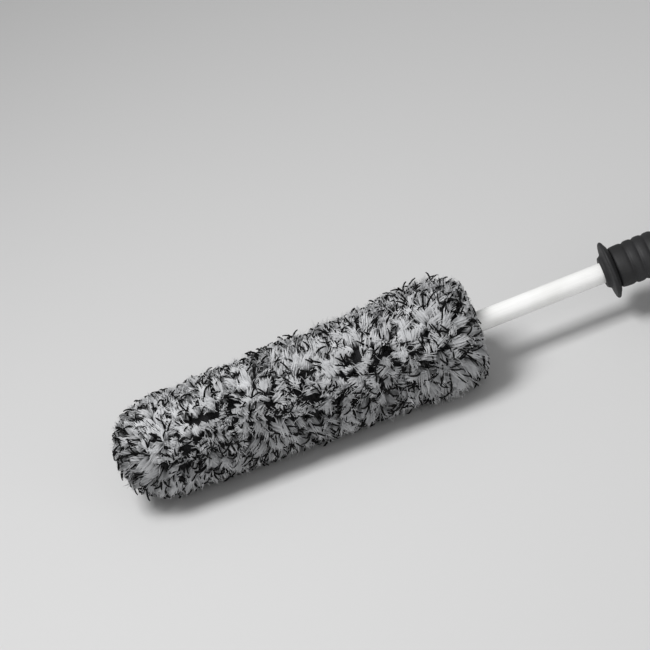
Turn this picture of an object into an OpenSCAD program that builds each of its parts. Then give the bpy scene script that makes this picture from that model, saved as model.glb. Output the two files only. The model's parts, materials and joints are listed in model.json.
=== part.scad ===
// Long-reach wheel brush: a plush sleeve on a foam-padded flexible core, on a plain round shaft
// with a moulded grip. The brush lies along X, nose towards -X, with the surface it lies on at z = 0.

/* [Overall] */
// Length over everything, from the pile nose to the hanging tab
overall_len = 450; // [440:1:480]
// Height of the brush axis above the surface it lies on; the pile is pressed flat below it
axis_height = 33; // [32:0.5:34]

/* [Pile] */
// Length of the pile-covered head
head_len = 236; // [230:1:245]
// Pile radius at the full collar beside the shaft
collar_r = 36.5; // [35.5:0.5:38]
// Pile radius where the body leaves the collar
body_r = 34.5; // [34:0.5:35]
// Pile radius where the rounded nose begins
nose_r = 31.5; // [30:0.5:33]
// Length of the rounded nose
nose_len = 36; // [34:1:40]
// Length of the collar
collar_len = 41; // [36:1:46]
// Fullness of the rounded ends: 2 is an ellipse, more is squarer
end_power = 2.5; // [2:0.1:3.5]

/* [Cover backing] */
// Outside radius of the knitted backing tube
backing_r = 22; // [21.5:0.1:22.5]
// Thickness of the backing
backing_wall = 1.5; // [1.2:0.1:1.6]
// Width of the folded hem at the mouth
hem_width = 6; // [5:0.5:6]
// Thickness of the folded hem
hem_wall = 3; // [2.8:0.1:3.2]
// Width of the closing seam allowance under the pile
seam_width = 3; // [2:0.5:5]
// Height of the closing seam allowance
seam_height = 1.4; // [1:0.1:2]

/* [Core] */
// Radius of the foam padding
foam_r = 20; // [19.5:0.1:20]
// Reach of the core's cross ribs from the axis
rib_reach = 8; // [7:0.5:9]
// Thickness of the cross ribs
rib_wall = 3; // [2.6:0.1:4]
// Radius of the core's round root
root_r = 6; // [5.5:0.1:6.5]
// Radius of the moulded hub's sleeve around the root
hub_r = 10; // [9:0.1:11]
// Radius of the flexible neck
neck_r = 3.8; // [3:0.1:4]
// Radius of the neck's round end, the centre of its bending
knuckle_r = 4.8; // [4.6:0.05:4.9]
// Radius of the bendable wire in the core
wire_r = 1.2; // [0.8:0.1:1.4]

/* [Shaft] */
// Diameter of the shaft
shaft_d = 12.7; // [12:0.1:13]
// Exposed length of the shaft, from the knuckle to the finger guard
shaft_open = 88; // [80:1:100]
// Length of the shaft held in the grip
shaft_held = 28; // [24:1:30]

/* [Grip] */
// Length of the grip sleeve
grip_len = 104; // [100:1:110]
// Radius of the grip at the palm swell
palm_r = 15.5; // [15:0.1:17]
// Radius of the grip at its waist
waist_r = 13.4; // [13:0.1:14]
// Half thickness of the flattened grip
grip_half = 12.6; // [12.2:0.1:13.5]
// Number of finger grooves round the grip
groove_count = 7; // [3:1:8]
// Radius of the finger guard
guard_r = 18; // [17:0.5:22]
// Thickness of the hanging tab
tab_thick = 8; // [6:0.5:9]
// Radius of the hanging hole
hang_r = 4.5; // [3.5:0.1:5]
// Radius of the hanging tab
tab_r = 11.5; // [10.5:0.1:12]
// Radius of the cross pins
pin_r = 1.5; // [1:0.1:1.6]

/* [Hidden] */
$fn = 72;
fit = 0.06; // gap between pieces that are pushed, sewn or glued together
step = 1 / 14; // step along a rounded outline

// Stations along the cover, from its nose to its mouth
nose_x = -overall_len / 2;
dome_x = nose_x + nose_len;
mouth_x = nose_x + head_len;
collar_x = mouth_x - collar_len;
mouth_pile = 4; // pile that stands past the hem
hem_x = mouth_x - mouth_pile - hem_width;
seam_half = 2; // half width of the nose seam

// Layers of the cover
backing_in = backing_r - backing_wall;
hem_r = backing_in + hem_wall;
hem_skin = 0.6; // cloth under the elastic
hem_fold = 1.2; // cloth past the elastic's far edge
elastic_wall = hem_wall / 2;

// Core: the knuckle sits inside the mouth, then neck, hub disc and hub sleeve towards the nose
knuckle_x = mouth_x - 7;
cup_r = knuckle_r + 0.1;
hub_x = knuckle_x - 7;
disc_x = hub_x - 4;
sleeve_x = disc_x - 25;
hub_pin_x = (sleeve_x + disc_x) / 2;
socket_len = 1; // depth of the foam's round socket past the hub's sleeve
wire_end_x = sleeve_x - 2;
spar_r = wire_r + 2.2;
ribs_x = dome_x + 5;
button_x = dome_x + 3;
button_r = rib_reach;
button_len = 14;
button_x0 = button_x - button_len;
stub_r = 3;
stub_x = button_x0 + 3;

// Handle: guard, grip, end cap and hanging tab
shaft_r = shaft_d / 2;
guard_x = knuckle_x + shaft_open;
guard_len = 8;
grip_x = guard_x + guard_len;
cap_x = grip_x + grip_len;
cap_disc = 4.2;
tab_x = overall_len / 2 - tab_r;
core_r = 11;
core_half = 9.5;
core_cavity_r = 8;
spigot_r = 5.5;
spigot_len = 16;
groove_pitch = 6.5;
groove_depth = 0.9;
groove_half = 0.8;
groove_floor = grip_half + 0.7; // grooves fade out on the flattened sides
groove_x = grip_x + 9; // first finger groove
pin_inset = 0.3; // how far each cross pin ends below the surface around it
shaft_pin_x = grip_x + 14;
cap_pin_x = cap_x - spigot_len / 2;

// Places children on the brush axis, their +Z turned to +X
module on_axis(x) translate([x, 0, axis_height]) rotate([0, 90, 0]) children();

module rod(x0, x1, r) on_axis(x0) cylinder(h = x1 - x0, r = r);

module tube(x0, x1, r, bore) {
    difference() {
        rod(x0, x1, r);
        rod(x0 - 1, x1 + 1, bore);
    }
}

// Turns an outline of [radius, x] points about the brush axis
module turned(outline) on_axis(0) rotate_extrude() polygon(outline);

module ball(x, r) translate([x, 0, axis_height]) sphere(r = r);

// Long block centred on the axis, between two stations
module bar(x0, x1, w, h) translate([x0, -w / 2, axis_height - h / 2]) cube([x1 - x0, w, h]);

// Cross pin along Y
module cross_pin(x, r, len) translate([x, len / 2, axis_height]) rotate([90, 0, 0]) cylinder(h = len, r = r);

// Presses the pile flat on the surface the brush lies on
module pressed_flat() {
    difference() {
        children();
        translate([-overall_len, -overall_len / 2, -overall_len])
            cube([2 * overall_len, overall_len, overall_len]);
    }
}

// Share of the full radius left at a share t of a rounded end
function rounded(t) = pow(1 - pow(t, end_power), 1 / end_power);

// Outline of a rounded end: radius r_low to r_high as x runs from x_end to x_full
function end_outline(x_full, x_end, r_high, r_low) = [
    for (t = [0 : step : 1 + step / 2])
        [r_low + (r_high - r_low) * rounded(min(t, 1)), x_full + (x_end - x_full) * min(t, 1)]
];

function arc_outline(x, r) = [for (a = [0 : 6 : 90]) [r * sin(a), x - r * cos(a)]];

// ---- handle ----

module shaft() {
    color("white") difference() {
        rod(knuckle_x, grip_x + shaft_held, shaft_r);
        ball(knuckle_x, cup_r);
        cross_pin(shaft_pin_x, pin_r + fit, 2 * shaft_d);
    }
}

module finger_guard() {
    boss_r = shaft_r + 3.5;
    rim_x = guard_x + 3.2;
    rim_end_x = guard_x + 6.6;
    back_x = guard_x + guard_len - fit;
    color("#1b1b1d") turned([
        [shaft_r + fit, guard_x], [boss_r - 1.5, guard_x], [boss_r, guard_x + 1.5],
        [boss_r + 0.5, rim_x - 0.8], [guard_r - 1.2, rim_x], [guard_r, rim_x + 1],
        [guard_r, rim_end_x - 1], [guard_r - 1, rim_end_x], [core_r + 1.5, back_x], [shaft_r + fit, back_x]
    ]);
}

module core_form(x0, x1, grow) {
    intersection() {
        rod(x0, x1, core_r + grow);
        bar(x0 - 1, x1 + 1, 4 * core_r, 2 * (core_half + grow));
    }
}

module handle_core() {
    color("#2a2a2c") difference() {
        core_form(grip_x, cap_x - fit, 0);
        rod(grip_x - 1, grip_x + shaft_held + fit, shaft_r + fit);
        rod(grip_x + shaft_held, cap_x - spigot_len - 1, core_cavity_r);
        rod(cap_x - spigot_len - 2, cap_x + 1, spigot_r + fit);
        cross_pin(shaft_pin_x, pin_r + fit, 4 * core_r);
        cross_pin(cap_pin_x, pin_r + fit, 4 * core_r);
    }
}

// Two large arcs above and below give the grip its flattened section
module oval_limits(x0, x1) {
    flank_r = 19;
    drop = flank_r - grip_half;
    intersection() {
        translate([0, 0, -drop]) rod(x0, x1, flank_r);
        translate([0, 0, drop]) rod(x0, x1, flank_r);
    }
}

// Radius of the grip at a share t of its length: fullest in the palm, a waist, then a slight flare
palm_at = 0.22;
waist_at = 0.72;
function grip_wave(t) = 180 + 360 * (min(t, waist_at) - palm_at) + 180 * max(0, t - waist_at);
function grip_radius(t) = waist_r + (palm_r - waist_r) * (0.5 - 0.5 * cos(grip_wave(t)));

module grip_sleeve() {
    outline = [for (t = [0 : 1 / 26 : 1.001]) [grip_radius(t), grip_x + fit + (grip_len - 2 * fit) * t]];
    last_x = cap_x - fit;
    color("#161617") difference() {
        intersection() {
            turned(concat([[0, grip_x + fit]], outline, [[0, last_x]]));
            oval_limits(grip_x - 1, cap_x + 1);
        }
        core_form(grip_x - 1, cap_x + 1, fit);
        for (i = [0 : groove_count - 1]) {
            at = groove_x + i * groove_pitch;
            deep = grip_radius((at - grip_x) / grip_len) - groove_depth;
            tube(at - groove_half, at + groove_half, palm_r + 3, min(deep, groove_floor));
        }
    }
}

// Flat tab with a round end, cut off square where it meets the cap
module hanging_tab() {
    intersection() {
        union() {
            bar(cap_x, tab_x, 2 * tab_r - 2, tab_thick);
            translate([tab_x, 0, axis_height - tab_thick / 2]) cylinder(h = tab_thick, r = tab_r);
        }
        bar(cap_x + 1, overall_len, 4 * tab_r, 2 * tab_thick);
    }
}

module end_cap() {
    edge = 2;
    color("#161617") difference() {
        union() {
            intersection() {
                turned([
                    [0, cap_x], [waist_r, cap_x], [waist_r, cap_x + cap_disc - edge],
                    [waist_r - edge, cap_x + cap_disc], [0, cap_x + cap_disc]
                ]);
                oval_limits(cap_x - 1, cap_x + cap_disc + 1);
            }
            rod(cap_x - spigot_len, cap_x + 1, spigot_r);
            hanging_tab();
        }
        translate([tab_x, 0, axis_height - tab_thick]) cylinder(h = 2 * tab_thick, r = hang_r);
        cross_pin(cap_pin_x, pin_r + fit, 4 * core_r);
    }
}

module shaft_pin() color("silver") cross_pin(shaft_pin_x, pin_r, 2 * (core_r - pin_inset));

module end_cap_pin() color("silver") cross_pin(cap_pin_x, pin_r, 2 * (core_r - pin_inset));

// ---- core ----

module core_hub() {
    color("white") difference() {
        turned([
            [0, sleeve_x], [hub_r, sleeve_x], [hub_r, disc_x], [foam_r, disc_x],
            [foam_r, hub_x - 1], [foam_r - 1, hub_x], [0, hub_x]
        ]);
        rod(sleeve_x - 1, hub_x + 1, root_r + fit);
        cross_pin(hub_pin_x, pin_r + fit, 4 * hub_r);
    }
}

module cross_ribs(x0, x1, grow) {
    bar(x0, x1, 2 * (rib_reach + grow), rib_wall + 2 * grow);
    bar(x0, x1, rib_wall + 2 * grow, 2 * (rib_reach + grow));
}

module core_spine() {
    color("whitesmoke") difference() {
        union() {
            cross_ribs(ribs_x, sleeve_x - fit, 0);
            rod(ribs_x, sleeve_x, spar_r);
            rod(sleeve_x - socket_len, hub_x, root_r);
            rod(hub_x - 1, knuckle_x, neck_r);
            ball(knuckle_x, knuckle_r);
            rod(stub_x, ribs_x + 1, stub_r);
        }
        rod(stub_x - 1, wire_end_x, wire_r + fit);
        cross_pin(hub_pin_x, pin_r + fit, 4 * hub_r);
    }
}

module core_wire() color("silver") rod(stub_x + fit, wire_end_x - fit, wire_r);

module hub_pin() color("silver") cross_pin(hub_pin_x, pin_r, 2 * (hub_r - pin_inset));

// Solid foam log with the hollows that take the core, before it is split along its middle
module foam_log() {
    difference() {
        rod(dome_x, disc_x - fit, foam_r);
        rod(sleeve_x - fit, disc_x, hub_r + fit);
        rod(sleeve_x - socket_len - fit, sleeve_x, root_r + fit);
        cross_ribs(ribs_x - fit, sleeve_x, fit);
        rod(ribs_x, sleeve_x, spar_r + fit);
        rod(dome_x - 1, ribs_x + fit, button_r + fit);
    }
}

module half_space(up) {
    z0 = up ? axis_height + fit / 2 : axis_height - fit / 2 - 2 * foam_r;
    translate([dome_x - 1, -2 * foam_r, z0]) cube([head_len, 4 * foam_r, 2 * foam_r]);
}

module foam_upper() color("#4a4b4d") intersection() { foam_log(); half_space(true); }

module foam_lower() color("#4a4b4d") intersection() { foam_log(); half_space(false); }

module foam_tip() {
    color("#4a4b4d") difference() {
        turned(concat(arc_outline(dome_x - fit, foam_r), [[0, dome_x - fit]]));
        rod(button_x0 - fit, dome_x + 1, button_r + fit);
    }
}

module tip_button() {
    color("whitesmoke") difference() {
        turned([
            [0, button_x0], [button_r - 3, button_x0], [button_r - 0.9, button_x0 + 0.9],
            [button_r, button_x0 + 3], [button_r, button_x], [0, button_x]
        ]);
        rod(stub_x - fit, button_x + 1, stub_r + fit);
    }
}

// ---- cover ----

module cover_backing() color("#b9babc") tube(dome_x, hem_x, backing_r, backing_in);

module cover_tip_panel() {
    inner = arc_outline(dome_x, backing_in);
    outer = arc_outline(dome_x, backing_r);
    last = len(inner) - 1;
    color("#b9babc") turned(concat(outer, [for (i = [0 : last]) inner[last - i]]));
}

module cover_seam() {
    x0 = dome_x + seam_half + fit;
    color("#2b2b2d") translate([x0, -seam_width / 2, axis_height - backing_r - seam_height])
        cube([hem_x - fit - x0, seam_width, seam_height - fit]);
}

module tip_seam() {
    color("#2b2b2d") tube(dome_x - seam_half, dome_x + seam_half, backing_r + seam_height, backing_r + fit);
}

module hem_band() {
    bore = backing_in + hem_skin;
    color("#1d1d1f") difference() {
        tube(hem_x, hem_x + hem_width, hem_r, backing_in);
        tube(hem_x - 1, hem_x + hem_width - hem_fold, bore + elastic_wall, bore);
    }
}

module hem_elastic() {
    bore = backing_in + hem_skin + fit;
    color("#303033")
        tube(hem_x + fit, hem_x + hem_width - hem_fold - fit, bore + elastic_wall - 2 * fit, bore);
}

// Room under the pile for the closing seam
module seam_room() {
    translate([dome_x, -seam_width / 2 - fit, axis_height - backing_r - seam_height - fit])
        cube([head_len, seam_width + 2 * fit, seam_height + 2]);
}

module pile_collar() {
    peak_x = collar_x + collar_len / 2;
    rise = [
        for (t = [0 : 1 / 6 : 1.01])
            [body_r + (collar_r - body_r) * sin(90 * t), collar_x + (peak_x - collar_x) * t]
    ];
    outline = concat(
        [[backing_r + fit, collar_x]], rise, end_outline(peak_x, mouth_x, collar_r, hem_r + 1),
        [[hem_r + fit, mouth_x], [hem_r + fit, hem_x], [backing_r + fit, hem_x]]
    );
    color("#a9abae") pressed_flat() difference() {
        turned(outline);
        seam_room();
    }
}

module pile_body() {
    color("#a9abae") pressed_flat() difference() {
        turned([
            [backing_r + fit, dome_x], [nose_r, dome_x], [body_r, collar_x], [backing_r + fit, collar_x]
        ]);
        seam_room();
        rod(dome_x - 1, dome_x + seam_half + fit, backing_r + seam_height + fit);
    }
}

module pile_nose() {
    color("#a9abae") difference() {
        turned(concat(
            [[0, dome_x]], end_outline(dome_x, nose_x, nose_r, 0)
        ));
        ball(dome_x, backing_r + fit);
        rod(dome_x - seam_half - fit, dome_x + 1, backing_r + seam_height + fit);
    }
}

shaft();
finger_guard();
handle_core();
grip_sleeve();
end_cap();
shaft_pin();
end_cap_pin();
core_hub();
core_spine();
core_wire();
hub_pin();
foam_upper();
foam_lower();
foam_tip();
tip_button();
cover_backing();
cover_tip_panel();
cover_seam();
tip_seam();
hem_band();
hem_elastic();
pile_collar();
pile_body();
pile_nose();
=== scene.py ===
import json
import math

import bpy
import numpy as np
from mathutils import Matrix, Vector


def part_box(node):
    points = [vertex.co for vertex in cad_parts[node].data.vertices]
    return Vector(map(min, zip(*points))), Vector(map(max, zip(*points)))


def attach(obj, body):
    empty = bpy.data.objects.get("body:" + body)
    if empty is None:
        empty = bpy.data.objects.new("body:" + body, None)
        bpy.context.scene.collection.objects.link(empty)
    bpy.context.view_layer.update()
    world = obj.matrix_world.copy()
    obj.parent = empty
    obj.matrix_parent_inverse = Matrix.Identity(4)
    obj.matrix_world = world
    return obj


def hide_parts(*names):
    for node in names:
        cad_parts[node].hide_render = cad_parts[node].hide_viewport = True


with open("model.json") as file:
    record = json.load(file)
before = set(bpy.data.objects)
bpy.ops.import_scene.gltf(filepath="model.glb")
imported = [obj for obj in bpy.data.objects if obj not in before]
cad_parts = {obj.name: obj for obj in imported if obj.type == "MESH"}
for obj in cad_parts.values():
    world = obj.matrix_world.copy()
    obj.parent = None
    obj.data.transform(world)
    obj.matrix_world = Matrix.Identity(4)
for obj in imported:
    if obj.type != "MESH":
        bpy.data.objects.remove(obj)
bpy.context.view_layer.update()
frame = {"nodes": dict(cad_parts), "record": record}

MM = 0.001

# ---------------------------------------------------------------- sizes, read from the frame


def radius_of(node):
    """A round node's radius: half its width across the brush axis."""
    low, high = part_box(node)
    return (high.y - low.y) / 2


backing_low, backing_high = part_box("cover_backing")
AXIS_Z = (backing_low.z + backing_high.z) / 2
DOME_X = backing_low.x
HEM_X = backing_high.x
HEM_END_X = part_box("hem_band")[1].x
NOSE_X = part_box("pile_nose")[0].x
COLLAR_X, MOUTH_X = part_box("pile_collar")[0].x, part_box("pile_collar")[1].x
BACKING_R = radius_of("cover_backing")
HEM_R = radius_of("hem_band")
COLLAR_R = radius_of("pile_collar")
BODY_R = radius_of("pile_body")
NOSE_R = radius_of("pile_nose")
SHAFT_R = radius_of("shaft")
NECK_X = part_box("shaft")[0].x
NECK_BEND = math.radians(frame["record"]["behaviour"]["joints"][0]["range_deg"][1])
GRIP_R = radius_of("grip_sleeve")

# ---------------------------------------------------------------- colours and nodes


def colour(text):
    """An sRGB hex value as linear red, green, blue and alpha."""
    parts = [int(text[i : i + 2], 16) / 255 for i in (1, 3, 5)]
    return [p / 12.92 if p <= 0.04045 else ((p + 0.055) / 1.055) ** 2.4 for p in parts] + [1.0]


def add(tree, kind, settings=None, stops=(), **sockets):
    """Adds one node. Settings are the node's own, stops are a colour ramp's, each a position and a hex value,
    and sockets are its inputs, by name or as i0, i1 and so on, each a value or another node's output."""
    made = tree.nodes.new(kind)
    for name, value in (settings or {}).items():
        setattr(made, name, value)
    for i, (position, shade) in enumerate(stops):
        elements = made.color_ramp.elements
        stop = elements[i] if i < len(elements) else elements.new(position)
        stop.position = position
        stop.color = colour(shade)
    for name, value in sockets.items():
        numbered = name[0] == "i" and name[1:].isdigit()
        socket = made.inputs[int(name[1:]) if numbered else name.replace("_", " ")]
        if isinstance(value, bpy.types.NodeSocket):
            tree.links.new(value, socket)
        else:
            socket.default_value = value
    return made


def new_material(name):
    """A material with an empty tree, and that tree."""
    made = bpy.data.materials.new(name)
    made.use_nodes = True
    made.node_tree.nodes.clear()
    return made, made.node_tree


def finish_material(tree, **sockets):
    """Ends a material's tree with its surface."""
    shader = add(tree, "ShaderNodeBsdfPrincipled", **sockets)
    add(tree, "ShaderNodeOutputMaterial", Surface=shader.outputs["BSDF"])


def plush_material():
    """Split microfibre polyester, knitted as a cut pile, slightly sheeny, each lock a shade of its own. Its
    colour is darkened to near black where the yarn leaves the backing, which is painted shade for the deep
    gaps of the pile, and paled at the frayed tips, which is a painted highlight. A blade stands for a bundle
    of fibres, which are too fine to show one by one."""
    made, tree = new_material("split_microfibre_pile")
    along = add(tree, "ShaderNodeAttribute", {"attribute_name": "along"}).outputs["Fac"]
    tone = add(tree, "ShaderNodeAttribute", {"attribute_name": "tone"}).outputs["Fac"]
    # The yarn's own grey lies in the middle. The near-black stop at the root is painted shade, and the paler
    # stop at the tip is a painted highlight.
    painted_root_shade_and_tip_highlight = [(0.1, "#131314"), (0.45, "#b9babc"), (1, "#cdced0")]
    ramp = add(tree, "ShaderNodeValToRGB", stops=painted_root_shade_and_tip_highlight, Fac=along)
    shade = add(tree, "ShaderNodeMapRange", Value=tone, To_Min=0.78, To_Max=1.16)
    mixed = add(
        tree, "ShaderNodeVectorMath", {"operation": "SCALE"},
        i0=ramp.outputs["Color"], Scale=shade.outputs["Result"],
    )
    finish_material(
        tree, Base_Color=mixed.outputs["Vector"], Roughness=0.9, Sheen_Weight=0.35, Sheen_Roughness=0.45
    )
    return made


def strand_material():
    """Black polyester monofilament, drawn: nearly black, with a thin soft line of light along each strand."""
    made, tree = new_material("black_polyester_filament")
    tone = add(tree, "ShaderNodeAttribute", {"attribute_name": "tone"}).outputs["Fac"]
    ramp = add(tree, "ShaderNodeValToRGB", stops=[(0, "#020202"), (1, "#09090a")], Fac=tone)
    finish_material(tree, Base_Color=ramp.outputs["Color"], Roughness=0.75, Specular_IOR_Level=0.2)
    return made


# ---------------------------------------------------------------- pile

draw = np.random.default_rng(20)

HEM_EDGE = 1.5 * MM
MOUTH_FAN = 16 * MM


def on_cover(along, turn):
    """Points on the backing, the way the pile stands there and how much of its height it keeps as it fans out
    over the mouth. along runs from the mouth to the nose, in metres."""
    tube = HEM_END_X - DOME_X
    dome = np.clip((along - tube) / BACKING_R, 0, math.pi / 2)
    x = HEM_END_X - HEM_EDGE - np.minimum(along, tube - HEM_EDGE) - BACKING_R * np.sin(dome)
    fan = np.clip(1 - along / MOUTH_FAN, 0, 1)
    place, stand = about_axis(x, BACKING_R * np.cos(dome), turn, 0.9 * fan**1.2 - dome)
    return place, stand, 1 - 0.42 * fan


def about_axis(x, r, turn, tilt):
    """Places at radius r round the brush, and directions tilted from straight out towards the handle."""
    out = np.stack([np.zeros_like(turn), np.cos(turn), np.sin(turn)], axis=1)
    place = out * r[:, None]
    place[:, 0] = x
    place[:, 2] += AXIS_Z
    stand = out * np.cos(tilt)[:, None]
    stand[:, 0] = np.sin(tilt)
    return place, stand


def pile_height(x):
    """Height of the pile over its backing at stations along the brush: even, with a swell at the collar and a
    little more round the nose."""
    body = np.interp(x, [DOME_X, COLLAR_X], [NOSE_R, BODY_R]) - BACKING_R
    rise, fall = COLLAR_X - 6 * MM, MOUTH_X + 2 * MM
    swell = np.sin(np.pi * np.clip((x - rise) / (fall - rise), 0, 1)) ** 0.7
    nose = np.clip((DOME_X - x) / BACKING_R, 0, 1)
    return body + (COLLAR_R - BODY_R) * swell + nose * 2 * MM


def scattered_roots(spacing):
    """Rows of roots round the cover, jittered so that no row shows."""
    full = HEM_END_X - DOME_X + BACKING_R * math.pi / 2
    alongs, turns = [], []
    for row in np.arange(spacing / 3, full, spacing):
        dome = max(0.0, (row - (HEM_END_X - DOME_X)) / BACKING_R)
        count = max(1, round(2 * math.pi * BACKING_R * math.cos(min(dome, 1.5)) / spacing))
        steps = np.arange(count) + draw.random() + draw.uniform(-0.4, 0.4, count)
        turns.append(steps * 2 * math.pi / count)
        alongs.append(row + draw.uniform(-0.45, 0.45, count) * spacing)
    return np.clip(np.concatenate(alongs), 0, full), np.concatenate(turns)


def unit(v):
    """Vectors of length one."""
    return v / np.maximum(np.linalg.norm(v, axis=-1, keepdims=True), 1e-12)


def square_to(stand, turn):
    """Two directions square to stand and to each other, the first turned by turn about it."""
    helper = np.where(np.abs(stand[:, :1]) < 0.9, [[1.0, 0, 0]], [[0, 0, 1.0]])
    first = unit(np.cross(stand, helper))
    second = np.cross(stand, first)
    lean = first * np.cos(turn)[:, None] + second * np.sin(turn)[:, None]
    return lean, np.cross(stand, lean)


def leaning_lines(place, stand, lean, side, start, end, curl, length, points, ease=1.2):
    """Lines that leave along stand and bend over towards lean, which swings by curl as they go. The larger
    ease is, the later they bend."""
    t = np.linspace(0, 1, points)
    angle = start[:, None] + (end - start)[:, None] * t**ease
    swing = curl[:, None] * t
    over = lean[:, None] * np.cos(swing)[..., None] + side[:, None] * np.sin(swing)[..., None]
    go = stand[:, None] * np.cos(angle)[..., None] + over * np.sin(angle)[..., None]
    mid = (go[:, 1:] + go[:, :-1]) / 2 * (length[:, None, None] / (points - 1))
    line = np.concatenate([np.zeros_like(mid[:, :1]), np.cumsum(mid, axis=1)], axis=1)
    return place[:, None] + line, go


def keep_above_floor(line, gap):
    """Fibres under the brush are pressed flat on what it lies on, in a layer that gives softly."""
    low = gap + 0.25 * MM
    give = 1 * MM
    z = line[..., 2]
    line[..., 2] = np.where(z < low + give, low + give * np.exp(np.minimum((z - low) / give - 1, 0)), z)
    return line


def blunt_ends(line):
    """The pile is worn blunt where it would reach past the nose or out of the mouth, most of all below."""
    x = line[..., 0]
    give, worn_at_mouth, worn_below, worn_at_nose = 4 * MM, 5 * MM, 5 * MM, 6 * MM
    ragged = draw.uniform(-2.5, 2.5, (len(line), 1)) * MM
    sag = worn_below * np.clip((AXIS_Z - line[..., 2]) / COLLAR_R, 0, 1)
    over = np.maximum(x - MOUTH_X + worn_at_mouth + sag - ragged, 0)
    under = np.maximum(NOSE_X + worn_at_nose + ragged - x, 0)
    line[..., 0] = x - over + give * (1 - np.exp(-over / give)) + under - give * (1 - np.exp(-under / give))
    return line


def part_round_shaft(line):
    """Fibres in the mouth lie round the shaft and leave it room to swing as far as the neck bends."""
    away = line[..., 1:] - [0, AXIS_Z]
    r = np.linalg.norm(away, axis=-1)
    past_neck = np.maximum(line[..., 0] - NECK_X, 0)
    room = SHAFT_R / math.cos(NECK_BEND) + past_neck * math.tan(NECK_BEND) + 1 * MM
    push = np.where((line[..., 0] > COLLAR_X) & (r < room), room / np.maximum(r, 0.1 * MM), 1)
    line[..., 1:] = away * push[..., None] + [0, AXIS_Z]
    return line


def settle(line):
    """How the grown pile ends up: worn at its ends, parted round the shaft and pressed on what it lies on."""
    return keep_above_floor(part_round_shaft(blunt_ends(line)), 0.3 * MM)


def fibre_mesh(name, line, go, flat, half_width, half_thick, tone, material, facing=None):
    """Closed three-sided fibres round their centre lines, in one mesh. flat is the way each one is wide, and
    facing, where given, is the way its soft surface takes the light."""
    count, points = line.shape[:2]
    wide = unit(flat - go * (flat * go).sum(-1, keepdims=True))
    thick = np.cross(go, wide)
    corners = [(1, -0.5), (0, 1), (-1, -0.5)]
    ring = [
        line + wide * (half_width * a)[..., None] + thick * (half_thick * b)[..., None]
        for a, b in corners
    ]
    co = np.stack(ring, axis=2).reshape(-1, 3)
    k = np.arange(points - 1)[:, None] * 3
    s = np.arange(3)[None]
    nxt = (s + 1) % 3
    quads = np.stack([k + s, k + nxt, k + nxt + 3, k + s + 3], axis=-1).reshape(-1, 4)
    last = (points - 1) * 3
    caps = np.array([[2, 1, 0], [last, last + 1, last + 2]])
    base = (np.arange(count) * points * 3)[:, None, None]
    corner_list = np.concatenate([(faces[None] + base).reshape(count, -1) for faces in (quads, caps)], axis=1)
    sizes = np.tile([4] * len(quads) + [3, 3], count)
    mesh = bpy.data.meshes.new(name)
    mesh.vertices.add(len(co))
    mesh.vertices.foreach_set("co", co.astype(np.float32).ravel())
    mesh.loops.add(corner_list.size)
    mesh.loops.foreach_set("vertex_index", corner_list.astype(np.int32).ravel())
    mesh.polygons.add(len(sizes))
    mesh.polygons.foreach_set("loop_start", np.concatenate([[0], np.cumsum(sizes)[:-1]]).astype(np.int32))
    mesh.polygons.foreach_set("use_smooth", np.ones(len(sizes), bool))
    mesh.update(calc_edges=True)
    for label, values in (
        ("along", np.broadcast_to(np.linspace(0, 1, points)[None, :, None], (count, points, 3))),
        ("tone", np.broadcast_to(tone[:, None, None], (count, points, 3))),
    ):
        attribute = mesh.attributes.new(label, "FLOAT", "POINT")
        attribute.data.foreach_set("value", values.astype(np.float32).ravel())
    if facing is not None:
        own = np.stack([wide * a * 0.5 + thick * b for a, b in corners], axis=2)
        normals = unit(facing[:, None, None] + 0.2 * own)
        mesh.normals_split_custom_set_from_vertices(normals.reshape(-1, 3).astype(np.float32))
    made = bpy.data.objects.new(name, mesh)
    bpy.context.scene.collection.objects.link(made)
    mesh.materials.append(material)
    return made


LOCK_SPACING = 4.6 * MM
PARTING_HEIGHT = 0.26


def flow(place):
    """The way the pile lies: towards the nose at the nose; behind it mostly upwards and a little to the
    handle above, mostly downwards and a little to the nose below; and wandering everywhere. The height where
    the two meet is the sine of a turn about the axis, and is drawn for each lock, so that no parting shows."""
    x = place[:, 0]
    turn = np.arctan2(place[:, 2] - AXIS_Z, place[:, 1])
    brushed_to_nose_until = DOME_X + 50 * MM
    to_nose = np.interp(
        x, [NOSE_X, DOME_X, brushed_to_nose_until, COLLAR_X, MOUTH_X], [1.0, 0.9, -0.35, -0.7, -0.5]
    )
    over_parting = np.sin(turn) > draw.normal(PARTING_HEIGHT, 0.5, len(x)) + 0.3 * np.sin(x / (13 * MM))
    to_nose = np.where(over_parting, to_nose, 0.7 * np.abs(to_nose))
    outwards = np.where(over_parting, 1, -1) * np.where(np.cos(turn) < 0, 1, -1)
    lie = np.arctan2(to_nose, outwards * np.sqrt(1 - to_nose**2))
    ripple = x / (10 * MM)
    for swing, wave, turns, shift in ((0.6, 0.9, 1, 0.6), (0.5, 0.6, -2, 2.2), (0.4, 1.7, 3, 0)):
        lie = lie + swing * np.sin(wave * ripple + turns * turn + shift)
    return lie


def mouth_rows():
    """Locks on the hem's edge that close the mouth round the shaft. Each row has its station from the edge,
    its radius and its locks' length, in millimetres, and the tilt of its locks."""
    rows = [
        (-1.0, 23.0, 6.0, 1.1), (-0.5, 22.3, 7.5, 1.75), (-0.3, 21.6, 10.0, 2.35), (-0.3, 21.2, 13.0, 2.75),
    ]
    places, stands, lengths = [], [], []
    for back, r, length, tilt in rows:
        count = round(2 * math.pi * r * MM / LOCK_SPACING)
        turn = (np.arange(count) + draw.random() + draw.uniform(-0.3, 0.3, count)) * 2 * math.pi / count
        x = np.full(count, HEM_END_X + back * MM)
        place, stand = about_axis(x, np.full(count, r * MM), turn, np.full(count, tilt))
        places.append(place)
        stands.append(stand)
        lengths.append(np.full(count, length * MM))
    return np.concatenate(places), np.concatenate(stands), np.concatenate(lengths)


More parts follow.
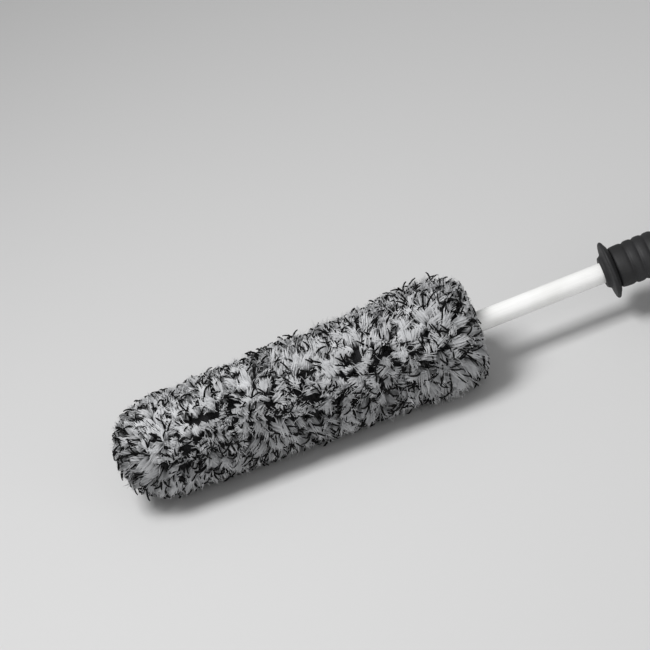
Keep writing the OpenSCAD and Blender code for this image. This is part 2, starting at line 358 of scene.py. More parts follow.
def lock_field():
    """Where every lock grows, how it stands, how tall it is, which way it leans and how far it bends. The
    locks in the mouth bend half as far as the others."""
    place, stand, kept = on_cover(*scattered_roots(LOCK_SPACING))
    height = pile_height(place[:, 0]) * kept * draw.uniform(0.88, 1.06, len(place))
    mouth_place, mouth_stand, mouth_height = mouth_rows()
    place, stand = np.concatenate([place, mouth_place]), np.concatenate([stand, mouth_stand])
    height = np.concatenate([height, mouth_height])
    lean, side = square_to(stand, flow(place) + draw.normal(0, 0.7, len(place)))
    end = draw.uniform(0.55, 1.25, len(place))
    end[-len(mouth_place):] *= 0.5
    return place, stand, height, lean, side, end


BLADES_IN_LOCK = 24


def plush_locks(field):
    """Every blade of every grey lock: centre line, its direction, the way it is flat, its tone and the way
    its soft surface takes the light. The blades of a lock are a fan, longest in its middle."""
    place, stand, height, lean, side, end = field
    count = len(place)
    length = height / (0.5 + 0.5 * np.cos(end * 0.8))
    lock_tone = draw.random(count)
    n = BLADES_IN_LOCK

    def per_blade(values):
        return np.repeat(values, n, axis=0)

    fan = np.tile(np.linspace(-1.3, 1.3, n), count)[:, None] + draw.normal(0, 0.12, (count * n, 1))
    tuck = draw.normal(0, 1, (count * n, 1))
    sway = per_blade(side)
    root = per_blade(place) + sway * fan * 1.5 * MM + per_blade(lean) * tuck * 0.6 * MM
    up = unit(per_blade(stand) + sway * fan * 0.1 + per_blade(lean) * tuck * 0.04)
    line, go = leaning_lines(
        root, up, per_blade(lean), sway,
        np.full(count * n, 0.05), per_blade(end) + draw.normal(0, 0.06, count * n),
        per_blade(draw.normal(0, 0.55, count)) + draw.normal(0, 0.1, count * n),
        per_blade(length) * (1.03 - 0.16 * fan[:, 0] ** 2 + draw.uniform(-0.14, 0.08, count * n)), 5,
    )
    tone = np.clip(per_blade(lock_tone) * 0.65 + draw.uniform(0, 0.35, count * n), 0, 1)
    facing = unit(per_blade(stand) + 0.25 * per_blade(lean))
    return line, go, np.broadcast_to(sway[:, None], line.shape), tone, facing


STRANDS_IN_BUNCH = 3
SHARE_WITH_STRANDS = 0.64


def black_strands(field):
    """Coarser black filaments, in bunches, that run out beside some of the locks and curl over them: centre
    line, its direction, the way it is flat and its tone."""
    chosen = draw.random(len(field[0])) < SHARE_WITH_STRANDS
    place, stand, height, lean, side, end = (np.repeat(v[chosen], STRANDS_IN_BUNCH, axis=0) for v in field)
    bunch = np.repeat(draw.uniform(-2, 2, (chosen.sum(), 1)), STRANDS_IN_BUNCH, axis=0)
    count = len(place)
    beside = (bunch + draw.normal(0, 0.9, (count, 1))) * MM
    root = place + side * beside + lean * draw.uniform(-1, 1, (count, 1)) * MM
    swing = draw.normal(0, 0.45, (count, 1))
    over = lean * np.cos(swing) + side * np.sin(swing)
    line, go = leaning_lines(
        root, stand, over, np.cross(stand, over),
        draw.uniform(0.05, 0.3, count), draw.uniform(1.5, 2.1, count),
        draw.normal(0, 0.9, count), height * draw.uniform(1.18, 1.6, count), 10, ease=1.7,
    )
    return line, go, np.broadcast_to(side[:, None], line.shape), draw.random(count)


STRAYS_PER_LOCK = 3


def stray_fibres(field):
    """Fine pale fibres that have worked loose from the locks and stand a little proud of them, given as the
    blades are."""
    place, stand, height, lean, side, end = (np.repeat(v, STRAYS_PER_LOCK, axis=0) for v in field)
    count = len(place)
    root = place + side * draw.uniform(-2, 2, (count, 1)) * MM + lean * draw.uniform(-1, 1, (count, 1)) * MM
    swing = draw.normal(0, 0.6, (count, 1))
    over = lean * np.cos(swing) + side * np.sin(swing)
    line, go = leaning_lines(
        root, stand, over, np.cross(stand, over),
        draw.uniform(0, 0.3, count), end + draw.uniform(-0.3, 0.6, count),
        draw.normal(0, 1.2, count), height * draw.uniform(1.1, 1.4, count), 6,
    )
    return line, go, np.broadcast_to(side[:, None], line.shape), draw.random(count), unit(stand + 0.25 * lean)


def hand_over(piece, body, slot, *stands_for):
    """Says which body a piece rides on and which nodes it stands for. slot is not used."""
    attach(piece, body)
    if stands_for:
        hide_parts(*stands_for)


BODY_ZONES = 5


def zones(line):
    """Cuts the pile into stretches along the brush, each with the node that it stands for, so that no piece
    grows too large to handle."""
    x = line[:, 0, 0]
    mouth_share = 0.62
    mouth = COLLAR_X + (HEM_END_X - COLLAR_X) * mouth_share
    cuts = [np.inf, mouth, *np.linspace(COLLAR_X, DOME_X, BODY_ZONES + 1), -np.inf]
    names = ["mouth", "collar", *(f"body_{i + 1}" for i in range(BODY_ZONES)), "nose"]
    nodes = ["pile_collar", "pile_collar", *["pile_body"] * BODY_ZONES, "pile_nose"]
    within = [(x < high) & (x >= low) for high, low in zip(cuts, cuts[1:])]
    return zip(names, nodes, within)


def lay_locks(field, material):
    """The grey locks: flat blades, widest in the middle, that narrow to a fine tip."""
    line, go, flat, tone, facing = plush_locks(field)
    line = settle(line)
    half_width, flatness = 0.42 * MM, 0.25
    taper = np.array([0.9, 1.05, 1.05, 0.9, 0.18])
    for name, node, here in zones(line):
        width = np.broadcast_to(half_width * taper, line[here].shape[:2])
        made = fibre_mesh(
            "plush_" + name, line[here], go[here], flat[here], width, width * flatness, tone[here],
            material, facing[here],
        )
        hand_over(made, "cover", "grey_plush", node)


def lay_strays(field, material):
    """The stray fibres, in two pieces, rear and front."""
    line, go, flat, tone, facing = stray_fibres(field)
    line = settle(line)
    half_width = 0.17 * MM
    taper = np.array([1, 1, 1, 0.9, 0.8, 0.5])
    width = np.broadcast_to(half_width * taper, line.shape[:2])
    split_x = COLLAR_X - 60 * MM
    rear = line[:, 0, 0] >= split_x
    for name, here in (("rear", rear), ("front", ~rear)):
        made = fibre_mesh(
            "stray_fibres_" + name, line[here], go[here], flat[here], width[here], width[here], tone[here],
            material, facing[here],
        )
        hand_over(made, "cover", "grey_plush")


def lay_strands(field, material):
    """The black strands: even in width, and narrower only at the tip."""
    line, go, flat, tone = black_strands(field)
    line = settle(line)
    half_width = 0.63 * MM
    taper = np.array([1, 1, 1, 1, 1, 1, 1, 0.95, 0.85, 0.6])
    width = np.broadcast_to(half_width * taper, line.shape[:2])
    made = fibre_mesh("black_strands", line, go, flat, width, width, tone, material)
    hand_over(made, "cover", "black_yarn")


plush = plush_material()
lock_places = lock_field()
lay_locks(lock_places, plush)
lay_strays(lock_places, plush)
lay_strands(lock_places, strand_material())

# ---------------------------------------------------------------- cloth, foam and mouldings


def place_in(tree):
    """The point's own place on the brush, in metres, from its axis."""
    coordinates = add(tree, "ShaderNodeTexCoord").outputs["Object"]
    return add(
        tree, "ShaderNodeVectorMath", {"operation": "SUBTRACT"}, i0=coordinates, i1=(0, 0, AXIS_Z)
    ).outputs["Vector"]


def place_by(tree, size, stretch=(1, 1, 1)):
    """The point's place, counted in grains of a size in metres, drawn out where stretch is over 1."""
    grain = [size * s for s in stretch]
    return add(
        tree, "ShaderNodeVectorMath", {"operation": "DIVIDE"}, i0=place_in(tree), i1=grain
    ).outputs["Vector"]


def speckle(tree, grain, detail=2.0, stretch=(1, 1, 1)):
    """Even noise, 0 to 1, with grains of a size in metres."""
    place = place_by(tree, grain, stretch)
    noise = add(tree, "ShaderNodeTexNoise", Vector=place, Scale=1.0, Detail=detail, Roughness=0.6)
    return noise.outputs["Fac"]


def round_and_along(tree, radius, across_pitch, along_pitch):
    """How far a point is round the brush and along it, each counted in ribs or stitches."""
    split = add(tree, "ShaderNodeSeparateXYZ", Vector=place_in(tree))
    turn = add(
        tree, "ShaderNodeMath", {"operation": "ARCTAN2"}, i0=split.outputs["Z"], i1=split.outputs["Y"]
    ).outputs["Value"]
    across = add(
        tree, "ShaderNodeMath", {"operation": "MULTIPLY"}, i0=turn, i1=radius / across_pitch
    ).outputs["Value"]
    along = add(
        tree, "ShaderNodeMath", {"operation": "MULTIPLY"}, i0=split.outputs["X"], i1=1 / along_pitch
    ).outputs["Value"]
    return across, along


def jersey_material():
    """Polyester jersey, weft knitted and dyed charcoal: columns of small V stitches with a matt, fuzzy face.
    The stitches are drawn 2 mm wide, about twice as coarse as the real ones, so that they show."""
    wale, course = 2.0 * MM, 1.6 * MM
    made, tree = new_material("charcoal_polyester_jersey")
    round_it, stitches = round_and_along(tree, BACKING_R, wale, course)
    across = add(tree, "ShaderNodeMath", {"operation": "PINGPONG"}, i0=round_it, i1=0.5).outputs["Value"]
    slanted = add(tree, "ShaderNodeMath", {"operation": "ADD"}, i0=stitches, i1=across).outputs["Value"]
    stitch = add(tree, "ShaderNodeMath", {"operation": "PINGPONG"}, i0=slanted, i1=0.5).outputs["Value"]
    turns = add(tree, "ShaderNodeMath", {"operation": "MULTIPLY"}, i0=across, i1=2 * math.pi).outputs["Value"]
    wave = add(tree, "ShaderNodeMath", {"operation": "SINE"}, i0=turns).outputs["Value"]
    height = add(
        tree, "ShaderNodeMath", {"operation": "MULTIPLY_ADD"}, i0=wave, i1=0.5, i2=stitch
    ).outputs["Value"]
    # Darker where the stitches dip and lighter on their crowns: painted shade in the valleys between the
    # stitches.
    base = add(tree, "ShaderNodeValToRGB", stops=[(0.2, "#0d0d0e"), (0.9, "#2b2b2e")], Fac=height)
    relief = add(tree, "ShaderNodeBump", Height=height, Distance=0.35 * MM, Strength=1.0)
    finish_material(
        tree, Base_Color=base.outputs["Color"], Roughness=0.95, Sheen_Weight=0.25, Sheen_Roughness=0.5,
        Normal=relief.outputs["Normal"],
    )
    return made


def elastic_material():
    """Black polyester elastic webbing, woven over rubber threads: fine ribs along it and a dull face."""
    rib = 1.1 * MM
    made, tree = new_material("black_woven_elastic")
    across, along = round_and_along(tree, HEM_R, rib, rib)
    weft = add(tree, "ShaderNodeMath", {"operation": "PINGPONG"}, i0=across, i1=0.5).outputs["Value"]
    warp = add(tree, "ShaderNodeMath", {"operation": "PINGPONG"}, i0=along, i1=0.5).outputs["Value"]
    height = add(tree, "ShaderNodeMath", {"operation": "ADD"}, i0=weft, i1=warp).outputs["Value"]
    # Darker where the ribs dip and lighter on their tops: painted shade in the grooves between the ribs.
    base = add(tree, "ShaderNodeValToRGB", stops=[(0.2, "#070708"), (0.8, "#1f1f21")], Fac=height)
    relief = add(tree, "ShaderNodeBump", Height=height, Distance=0.3 * MM, Strength=1.0)
    finish_material(tree, Base_Color=base.outputs["Color"], Roughness=0.85, Normal=relief.outputs["Normal"])
    return made


def thread_material():
    """Black spun polyester overlock thread: short slanting turns and a dry, slightly hairy face."""
    turn_width = 1.2 * MM
    made, tree = new_material("black_overlock_thread")
    split = add(tree, "ShaderNodeSeparateXYZ", Vector=place_in(tree))
    slant = add(
        tree, "ShaderNodeMath", {"operation": "ADD"}, i0=split.outputs["X"], i1=split.outputs["Y"]
    ).outputs["Value"]
    turns = add(tree, "ShaderNodeMath", {"operation": "MULTIPLY"}, i0=slant, i1=1 / turn_width)
    height = add(
        tree, "ShaderNodeMath", {"operation": "PINGPONG"}, i0=turns.outputs["Value"], i1=0.5
    ).outputs["Value"]
    # Darker where the turns dip and lighter on their tops: painted shade in the grooves between the turns.
    base = add(tree, "ShaderNodeValToRGB", stops=[(0.1, "#060607"), (0.45, "#19191b")], Fac=height)
    relief = add(tree, "ShaderNodeBump", Height=height, Distance=0.3 * MM, Strength=1.0)
    finish_material(tree, Base_Color=base.outputs["Color"], Roughness=0.9, Normal=relief.outputs["Normal"])
    return made


def foam_material():
    """Closed-cell polyethylene foam, extruded and cut: charcoal with a mottle of its own, and a fine skin of
    round cells that stand in relief, their rims painted paler as a painted highlight. The cells are drawn 1.4
    mm wide, coarser than real, so that they show."""
    cell, mottle = 1.4 * MM, 9 * MM
    made, tree = new_material("closed_cell_polyethylene_foam")
    cells = add(
        tree, "ShaderNodeTexVoronoi", Vector=place_by(tree, cell), Scale=1.0, Randomness=1.0
    ).outputs["Distance"]
    # Paler towards each cell's rim: a painted highlight.
    faint = add(tree, "ShaderNodeMath", {"operation": "MULTIPLY"}, i0=cells, i1=0.5).outputs["Value"]
    shade = add(
        tree, "ShaderNodeMath", {"operation": "MULTIPLY_ADD"}, i0=speckle(tree, mottle), i1=0.6, i2=faint
    ).outputs["Value"]
    base = add(tree, "ShaderNodeValToRGB", stops=[(0.25, "#2b2c2e"), (0.75, "#4c4d50")], Fac=shade)
    rims = add(tree, "ShaderNodeMath", {"operation": "POWER"}, i0=cells, i1=2.0).outputs["Value"]
    relief = add(tree, "ShaderNodeBump", Height=rims, Distance=0.3 * MM, Strength=1.0)
    finish_material(tree, Base_Color=base.outputs["Color"], Roughness=0.8, Normal=relief.outputs["Normal"])
    return made


def rod_material():
    """White polypropylene rod, extruded and left glossy: clean and bright, with faint draw lines along it.
    The lines are drawn 0.8 mm apart, coarser than the real ones, so that they show."""
    line_pitch, cloud = 0.8 * MM, 25 * MM
    made, tree = new_material("white_extruded_polypropylene")
    lines = speckle(tree, line_pitch, stretch=(40, 1, 1))
    haze = speckle(tree, cloud)
    base = add(tree, "ShaderNodeValToRGB", stops=[(0.35, "#eeeeec"), (0.65, "#f7f7f6")], Fac=haze)
    rough = add(tree, "ShaderNodeMapRange", Value=lines, To_Min=0.2, To_Max=0.34)
    relief = add(tree, "ShaderNodeBump", Height=lines, Distance=0.015 * MM, Strength=0.6)
    finish_material(
        tree, Base_Color=base.outputs["Color"], Roughness=rough.outputs["Result"], IOR=1.49,
        Normal=relief.outputs["Normal"],
    )
    return made


def moulded_material(name, dark, light, rough, grain, depth):
    """A moulding with the even grain of its spark-eroded tool, drawn coarser than the real grain, so that it
    shows as a slight softness of the gloss."""
    cloud = 18 * MM
    made, tree = new_material(name)
    spark = speckle(tree, grain, detail=3.0)
    base = add(tree, "ShaderNodeValToRGB", stops=[(0.35, dark), (0.65, light)], Fac=speckle(tree, cloud))
    gloss = add(tree, "ShaderNodeMapRange", Value=spark, To_Min=rough - 0.06, To_Max=rough + 0.08)
    relief = add(tree, "ShaderNodeBump", Height=spark, Distance=depth, Strength=1.0)
    finish_material(
        tree, Base_Color=base.outputs["Color"], Roughness=gloss.outputs["Result"], IOR=1.5,
        Normal=relief.outputs["Normal"],
    )
    return made


def elastomer_material():
    """Black thermoplastic rubber, moulded over the handle: dull, with a fine stipple, and greyer where hands
    and grit have polished it. The stipple is drawn 0.9 mm apart, coarser than real, so that it shows."""
    stipple, patch = 0.9 * MM, 14 * MM
    made, tree = new_material("moulded_thermoplastic_rubber")
    dots = add(
        tree, "ShaderNodeTexVoronoi", {"feature": "SMOOTH_F1"}, Vector=place_by(tree, stipple), Scale=1.0
    ).outputs["Distance"]
    wear = speckle(tree, patch, detail=4.0)
    base = add(tree, "ShaderNodeValToRGB", stops=[(0.3, "#141415"), (0.7, "#232325")], Fac=wear)
    rough = add(tree, "ShaderNodeMapRange", Value=wear, To_Min=0.72, To_Max=0.55)
    relief = add(tree, "ShaderNodeBump", Height=dots, Distance=0.12 * MM, Strength=0.7)
    finish_material(
        tree, Base_Color=base.outputs["Color"], Roughness=rough.outputs["Result"], IOR=1.5,
        Normal=relief.outputs["Normal"],
    )
    return made


def steel_material():
    """Drawn stainless wire, cut to pins: bright, with lines along the draw, 0.4 mm apart and so coarser than
    the real ones, so that they show."""
    line_pitch = 0.4 * MM
    made, tree = new_material("drawn_stainless_wire")
    lines = speckle(tree, line_pitch, stretch=(30, 1, 1))
    base = add(tree, "ShaderNodeValToRGB", stops=[(0.35, "#8f9194"), (0.65, "#b9bbbe")], Fac=lines)
    rough = add(tree, "ShaderNodeMapRange", Value=lines, To_Min=0.22, To_Max=0.4)
    finish_material(tree, Base_Color=base.outputs["Color"], Metallic=1.0, Roughness=rough.outputs["Result"])
    return made


jersey = jersey_material()
elastic = elastic_material()
thread = thread_material()
foam = foam_material()
rod = rod_material()
rubber = elastomer_material()
steel = steel_material()
white_moulding = moulded_material(
    "white_moulded_polypropylene", "#e6e6e3", "#efefed", rough=0.38, grain=0.5 * MM, depth=0.02 * MM
)
natural_moulding = moulded_material(
    "natural_moulded_polypropylene", "#d3d2ca", "#dfded7", rough=0.42, grain=0.5 * MM, depth=0.02 * MM
)
nylon = moulded_material(
    "black_moulded_nylon", "#151516", "#1d1d1f", rough=0.48, grain=0.7 * MM, depth=0.05 * MM
)

CAD_FINISHES = {
    "shaft": rod, "handle_core": nylon, "shaft_pin": steel, "end_cap_pin": steel, "core_hub": white_moulding,
    "core_spine": natural_moulding, "core_wire": steel, "hub_pin": steel, "tip_button": natural_moulding,
    "cover_seam": thread, "tip_seam": thread, "hem_elastic": elastic,
}
for node, material in CAD_FINISHES.items():
    slots = frame["nodes"][node].data.materials
    slots.clear()
    slots.append(material)

# ---------------------------------------------------------------- modelling


SHARP = math.radians(50)
CLOSE = 0.01 * MM


def start_fresh():
    """Leaves edit mode and lets go of everything, so that the next operator acts on its own piece alone."""
    if bpy.context.object and bpy.context.object.mode != "OBJECT":
        bpy.ops.object.mode_set(mode="OBJECT")
    bpy.ops.object.select_all(action="DESELECT")


def finish_piece(piece, name, material, body, slot, *stands_for):
    """Names a finished piece, puts its place in its mesh, gives it its finish and hands it over."""
    start_fresh()
    piece.select_set(True)
    bpy.context.view_layer.objects.active = piece
    bpy.ops.object.transform_apply(location=True, rotation=True, scale=True)
    piece.name = name
    piece.data.materials.clear()
    piece.data.materials.append(material)
    bpy.ops.object.shade_smooth_by_angle(angle=SHARP)
    hand_over(piece, body, slot, *stands_for)
    return piece


def apply_modifier(piece, kind, **settings):
    """Adds a modifier to a piece and applies it."""
    if bpy.context.object.mode != "OBJECT":
        bpy.ops.object.mode_set(mode="OBJECT")
    bpy.context.view_layer.objects.active = piece
    made = piece.modifiers.new(kind.lower(), kind)
    for name, value in settings.items():
        setattr(made, name, value)
    bpy.ops.object.modifier_apply(modifier=made.name)


def spun(outline, steps, turn=2 * math.pi, filled=False):
    """Draws an outline of (station, radius) points by extruding one point, then spins it about the brush
    axis. A filled outline is a face, and spins into a solid wedge."""
    start_fresh()
    bpy.ops.mesh.primitive_plane_add(size=1 * MM)
    piece = bpy.context.object
    bpy.ops.object.mode_set(mode="EDIT")
    bpy.ops.mesh.select_all(action="SELECT")
    bpy.ops.mesh.merge(type="CENTER")
    bpy.ops.transform.translate(value=(outline[0][0], 0, AXIS_Z + outline[0][1]))
    for (x0, r0), (x1, r1) in zip(outline, outline[1:]):
        bpy.ops.mesh.extrude_region_move(TRANSFORM_OT_translate={"value": (x1 - x0, 0, r1 - r0)})
    bpy.ops.mesh.select_all(action="SELECT")
    bpy.ops.mesh.remove_doubles(threshold=CLOSE)
    if filled:
        bpy.ops.mesh.select_all(action="SELECT")
        bpy.ops.mesh.edge_face_add()
    bpy.ops.mesh.select_all(action="SELECT")
    bpy.ops.mesh.spin(steps=steps, angle=turn, center=(0, 0, AXIS_Z), axis=(1, 0, 0))
    bpy.ops.mesh.select_all(action="SELECT")
    bpy.ops.mesh.remove_doubles(threshold=CLOSE)
    bpy.ops.mesh.normals_make_consistent(inside=False)
    return piece


def soft_noise(piece, name, size, depth):
    """A gentle unevenness over a soft piece."""
    texture = bpy.data.textures.new(name, "CLOUDS")
    texture.noise_scale = size
    texture.noise_depth = 1
    apply_modifier(piece, "DISPLACE", texture=texture, strength=depth, mid_level=0.5, texture_coords="LOCAL")


# ---- handle


def make_finger_guard():
    """The guard: a boss with a rounded lip round the shaft, and a dished flange with a soft rim behind it."""
    low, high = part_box("finger_guard")
    start, end, rim = low.x, high.x, radius_of("finger_guard")
    bore = SHAFT_R + 0.1 * MM
    boss = SHAFT_R + 3.5 * MM
    lip = [(0.1, bore), (0, SHAFT_R + 0.8 * MM), (0, boss - 1.2 * MM), (0.4, boss - 0.4 * MM), (1.3, boss)]
    dish = [(2.4, boss + 0.7 * MM), (3.1, boss + 3 * MM)]
    edge = [
        (3.4, rim - 1.6 * MM), (3.8, rim - 0.5 * MM), (4.7, rim), (5.6, rim - 0.4 * MM),
        (6.1, rim - 1.4 * MM), (6.7, rim - 3 * MM),
    ]
    outline = [(start + step * MM, r) for step, r in lip + dish + edge]
    outline += [(end, rim - 4 * MM), (end, bore), outline[0]]
    guard = spun(outline, 48)
    apply_modifier(guard, "SUBSURF", levels=1, render_levels=1)
    finish_piece(guard, "finger_guard_rubber", rubber, "handle", "black_elastomer", "finger_guard")


def grip_radius(share):
    """Radius along the grip: fullest in the palm, a waist, then a slight flare at the cap."""
    palm_at, waist_at, waist = 0.22, 0.72, 13.4 * MM
    wave = math.pi + 2 * math.pi * (min(share, waist_at) - palm_at) + math.pi * max(0, share - waist_at)
    return waist + (GRIP_R - waist) * (0.5 - 0.5 * math.cos(wave))


def flatten(share):
    """Flattens the round piece being edited in its height, from the brush axis."""
    bpy.ops.mesh.select_all(action="SELECT")
    bpy.ops.transform.resize(value=(1, 1, share), center_override=(0, 0, AXIS_Z))


def make_grip_sleeve():
    """The grip: a waisted sleeve with rounded ends and seven finger grooves towards the guard."""
    low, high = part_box("grip_sleeve")
    start, length = low.x, high.x - low.x
    first_groove, pitch, half, depth = 9 * MM, 6.5 * MM, 1.1 * MM, 0.9 * MM
    grooves = [first_groove + i * pitch for i in range(7)]
    clear, turned_in = 2 * MM, 0.8 * MM
    even = np.linspace(0.9 * MM, length - 0.9 * MM, 30)
    stations = [(t, 0) for t in even if min(abs(t - groove) for groove in grooves) > clear]
    for groove in grooves:
        stations += [(groove - half, 0), (groove - half / 2, depth)]
        stations += [(groove + half / 2, depth), (groove + half, 0)]
    outline = [(start, grip_radius(0) - turned_in)]
    outline += [(start + t, grip_radius(t / length) - cut) for t, cut in sorted(stations)]
    outline += [(start + length, grip_radius(1) - turned_in)]
    bore = 11.1 * MM
    outline += [(start + length, bore), (start, bore), outline[0]]
    grip = spun(outline, 48)
    flatten((high.z - low.z) / (high.y - low.y))
    apply_modifier(grip, "SUBSURF", levels=1, render_levels=1)
    finish_piece(grip, "ribbed_grip_sleeve", rubber, "handle", "black_elastomer", "grip_sleeve")


def make_end_cap():
    """The end cap: a shallow dome that closes the grip, and a round tab with the hanging hole."""
    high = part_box("end_cap")[1]
    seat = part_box("grip_sleeve")[1].x + 0.05 * MM
    flatness = 0.94
    rounding = [(0, 0.7), (0.6, 0), (2, 0.1), (3.4, 1.1), (4.3, 3), (4.6, 5)]
    outline = [(seat + step * MM, grip_radius(1) - drop * MM) for step, drop in rounding]
    outline = [(seat, 0), *outline, (outline[-1][0], 0)]
    cap = spun(outline, 48)
    flatten(flatness)
    apply_modifier(cap, "SUBSURF", levels=1, render_levels=1)

    hole = frame["record"]["mounts"][0]
    tab_x, hole_r = hole["pos_m"][0], hole["dims"]["r_mm"] * MM
    tab_r, thick = high.x - tab_x, hole["dims"]["length_mm"] * MM
    start_fresh()
    bpy.ops.mesh.primitive_cylinder_add(vertices=72, radius=tab_r, depth=thick, location=(tab_x, 0, AXIS_Z))
    tab = bpy.context.object
    bpy.ops.object.transform_apply(location=True)
    bpy.ops.object.mode_set(mode="EDIT")
    bpy.ops.mesh.select_all(action="DESELECT")
    bpy.ops.object.mode_set(mode="OBJECT")
    for vertex in tab.data.vertices:
        vertex.select = vertex.co.x < tab_x - 0.1 * MM
    bpy.ops.object.mode_set(mode="EDIT")
    root = seat + 2 * MM
    bpy.ops.transform.resize(value=(0, flatness, 1), center_override=(tab_x, 0, AXIS_Z))
    bpy.ops.transform.translate(value=(root - tab_x, 0, 0))
    bpy.ops.object.mode_set(mode="OBJECT")

    start_fresh()
    through = 3 * thick
    bpy.ops.mesh.primitive_cylinder_add(vertices=48, radius=hole_r, depth=through, location=(tab_x, 0, AXIS_Z))
    drill = bpy.context.object
    apply_modifier(tab, "BOOLEAN", operation="DIFFERENCE", object=drill, solver="EXACT")
    bpy.data.objects.remove(drill)
    apply_modifier(tab, "BEVEL", width=1.1 * MM, segments=4, limit_method="ANGLE", angle_limit=SHARP)
    start_fresh()
    tab.select_set(True)
    cap.select_set(True)
    bpy.context.view_layer.objects.active = cap
    bpy.ops.object.join()
    finish_piece(cap, "end_cap_moulding", nylon, "handle", "black_nylon", "end_cap")


# ---- foam padding on the core


def make_foam():
    """The foam: two half shells cut to fit over the core's ribs and the hub, and a domed end, all slightly
    uneven."""
    low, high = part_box("foam_upper")
    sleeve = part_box("core_hub")[0].x
    outer, hub, ribs = radius_of("foam_upper"), 10.1 * MM, 8.1 * MM
    edge, rind_size, rind_depth = 1.2 * MM, 8 * MM, 0.35 * MM
    stations = [low.x + edge + (high.x - low.x - 2 * edge) * i / 40 for i in range(41)]
    outline = [(low.x, ribs), (low.x, outer - edge)] + [(x, outer) for x in stations]
    outline += [(high.x, outer - edge), (high.x, hub), (sleeve, hub), (sleeve, ribs), (low.x, ribs)]
    upper = spun(outline, 32, turn=math.pi, filled=True)
    bpy.ops.mesh.select_all(action="SELECT")
    bpy.ops.transform.rotate(value=math.pi / 2, orient_axis="X", center_override=(0, 0, AXIS_Z))
    bpy.ops.object.mode_set(mode="OBJECT")
    centre = sum(v.co.z for v in upper.data.vertices) / len(upper.data.vertices)
    came_out_below = centre < AXIS_Z
    if came_out_below:
        bpy.ops.object.mode_set(mode="EDIT")
        bpy.ops.transform.rotate(value=math.pi, orient_axis="X", center_override=(0, 0, AXIS_Z))
        bpy.ops.object.mode_set(mode="OBJECT")
    apply_modifier(upper, "BEVEL", width=0.9 * MM, segments=2, limit_method="ANGLE", angle_limit=SHARP)
    soft_noise(upper, "foam_rind", rind_size, rind_depth)
    bpy.ops.object.duplicate(linked=False)
    lower = bpy.context.object
    bpy.ops.object.mode_set(mode="EDIT")
    bpy.ops.mesh.select_all(action="SELECT")
    bpy.ops.transform.rotate(value=math.pi, orient_axis="X", center_override=(0, 0, AXIS_Z))
    halves = [finish_piece(lower, "foam_half_lower", foam, "head", "charcoal_foam", "foam_lower")]
    halves.append(finish_piece(upper, "foam_half_upper", foam, "head", "charcoal_foam", "foam_upper"))

    front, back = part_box("foam_tip")[0].x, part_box("foam_tip")[1].x
    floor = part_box("tip_button")[0].x - 0.1 * MM
    reach = back - front
    turns = np.linspace(0, math.pi / 2 - 0.05, 18)
    arc = [(back - reach * math.cos(a), outer * math.sin(a)) for a in turns]
    arc[0] = (front, 0)
    outline = arc + [(back, outer - 1 * MM), (back, ribs), (floor, ribs), (floor, 0)]
    tip = spun(outline, 48)
    soft_noise(tip, "foam_tip_rind", rind_size, rind_depth)
    halves.append(finish_piece(tip, "foam_nose", foam, "head", "charcoal_foam", "foam_tip"))


# ---- knitted backing and hem


def make_backing():
    """The knitted tube and its domed end, eased a little over the foam, and the gathered hem."""
    outer, inner = BACKING_R, BACKING_R - 1.4 * MM
    gap = 0.05 * MM
    rings = np.linspace(DOME_X + gap, HEM_X - gap, 64)
    outline = [(x, outer) for x in rings] + [(x, inner) for x in rings[::-1]]
    tube = spun(outline + outline[:1], 72)
    soft_noise(tube, "jersey_ease", 14 * MM, 0.5 * MM)
    finish_piece(tube, "knitted_sleeve", jersey, "cover", "knitted_backing", "cover_backing")

    turns = np.linspace(0, math.pi / 2 - 0.02, 20)
    outline = [(DOME_X - outer * math.cos(a), outer * math.sin(a)) for a in turns]
    outline += [(DOME_X - inner * math.cos(a), inner * math.sin(a)) for a in turns[::-1]]
    dome = spun(outline, 72)
    soft_noise(dome, "jersey_dome_ease", 14 * MM, 0.4 * MM)
    finish_piece(dome, "knitted_nose_panel", jersey, "cover", "knitted_backing", "cover_tip_panel")

    def squarish(share):
        return math.copysign(abs(share) ** 0.6, share)

    middle, thick = HEM_R - 1.5 * MM, 1.45 * MM
    centre, half = (HEM_X + HEM_END_X) / 2, (HEM_END_X - HEM_X) / 2 - gap
    turns = np.linspace(0, 2 * math.pi, 25)
    outline = [(centre + half * squarish(math.cos(a)), middle + thick * squarish(math.sin(a))) for a in turns]
    hem = spun(outline, 96)
    soft_noise(hem, "hem_gathers", 4 * MM, 0.5 * MM)
    finish_piece(hem, "gathered_hem", elastic, "cover", "black_webbing", "hem_band")


make_finger_guard()
make_grip_sleeve()
make_end_cap()
make_foam()
make_backing()

# ---------------------------------------------------------------- studio


BRUSH_MIDDLE = (-0.05, 0, 0.03)


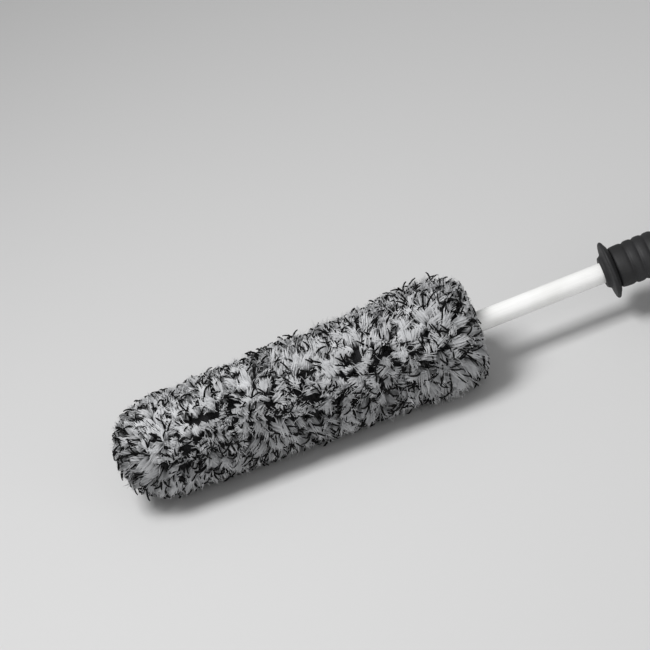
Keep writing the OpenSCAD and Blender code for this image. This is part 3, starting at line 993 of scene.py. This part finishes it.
def studio():
    """A pale floor and an even, dim air round it."""
    bpy.ops.mesh.primitive_plane_add(size=6, location=(0, 0, 0))
    floor = bpy.context.object
    floor.name = "floor"
    made, tree = new_material("pale_studio_floor")
    finish_material(tree, Base_Color=colour("#cecece"), Roughness=0.8)
    floor.data.materials.append(made)
    world = bpy.data.worlds.new("studio_air")
    bpy.context.scene.world = world
    world.use_nodes = True
    air = world.node_tree.nodes["Background"]
    air.inputs["Color"].default_value = (1, 1, 1, 1)
    air.inputs["Strength"].default_value = 0.26
    bpy.context.scene.view_settings.view_transform = "Standard"


def soft_light(name, size, power, place):
    """A square soft box that is turned to the brush."""
    lamp = bpy.data.lights.new(name, "AREA")
    lamp.shape = "SQUARE"
    lamp.size = size
    lamp.energy = power
    holder = bpy.data.objects.new(name, lamp)
    bpy.context.scene.collection.objects.link(holder)
    holder.location = place
    holder.rotation_euler = (Vector(BRUSH_MIDDLE) - Vector(place)).to_track_quat("-Z", "Y").to_euler()


def camera():
    """Looks down on the brush's side from a way off, rolled so that the brush rises to the right."""
    elevation = math.radians(32)
    roll = math.radians(21.5)
    distance, view_width = 1.6, 0.391
    along, above = -0.0745, 0.032
    sensor = 36
    towards = Vector((0, math.cos(elevation), -math.sin(elevation)))
    up = Vector((0, math.sin(elevation), math.cos(elevation)))
    aim = Vector((along, 0, AXIS_Z)) + up * above
    lens = bpy.data.cameras.new("camera")
    lens.sensor_width = sensor
    lens.lens = sensor * distance / view_width
    holder = bpy.data.objects.new("camera", lens)
    bpy.context.scene.collection.objects.link(holder)
    right = towards.cross(up)
    turned_up = up * math.cos(roll) + right * math.sin(roll)
    turned_right = right * math.cos(roll) - up * math.sin(roll)
    turn = Matrix((turned_right, turned_up, -towards)).transposed()
    holder.matrix_world = Matrix.Translation(aim - towards * distance) @ turn.to_4x4()
    bpy.context.scene.camera = holder


studio()
camera()
soft_light("key", size=0.55, power=14.2, place=(-0.45, -0.1, 1.25))
soft_light("fill", size=1.2, power=5, place=(0.5, -1.2, 0.6))
